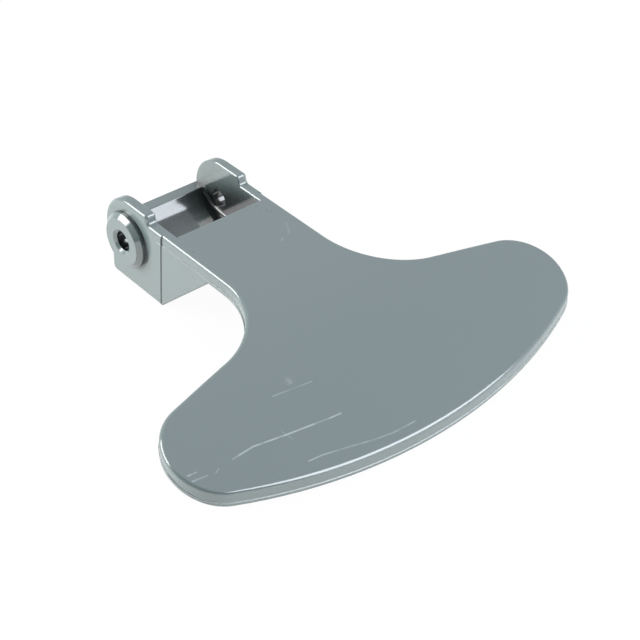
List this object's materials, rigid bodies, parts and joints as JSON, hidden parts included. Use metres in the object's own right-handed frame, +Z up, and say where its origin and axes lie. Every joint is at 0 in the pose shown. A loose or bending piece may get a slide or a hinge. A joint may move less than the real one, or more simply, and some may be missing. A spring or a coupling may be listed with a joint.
{
  "type": "washing machine door handle",
  "caption": "Moulded door handle with a wide curved paddle, a flat neck and a two-eared hinge block with a pivot bore.",
  "frame": {"origin": "middle of the pivot bore", "axes": "+X from the pivot out along the neck to the paddle, +Y along the pivot, +Z up from the neck's flat top"},
  "size_m": [0.1003, 0.1122, 0.0229],
  "materials": {
    "plastic": "glossy grey moulding with light handling scratches"
  },
  "bodies": {
    "root": {"door_handle": "plastic"}
  },
  "joints": []
}
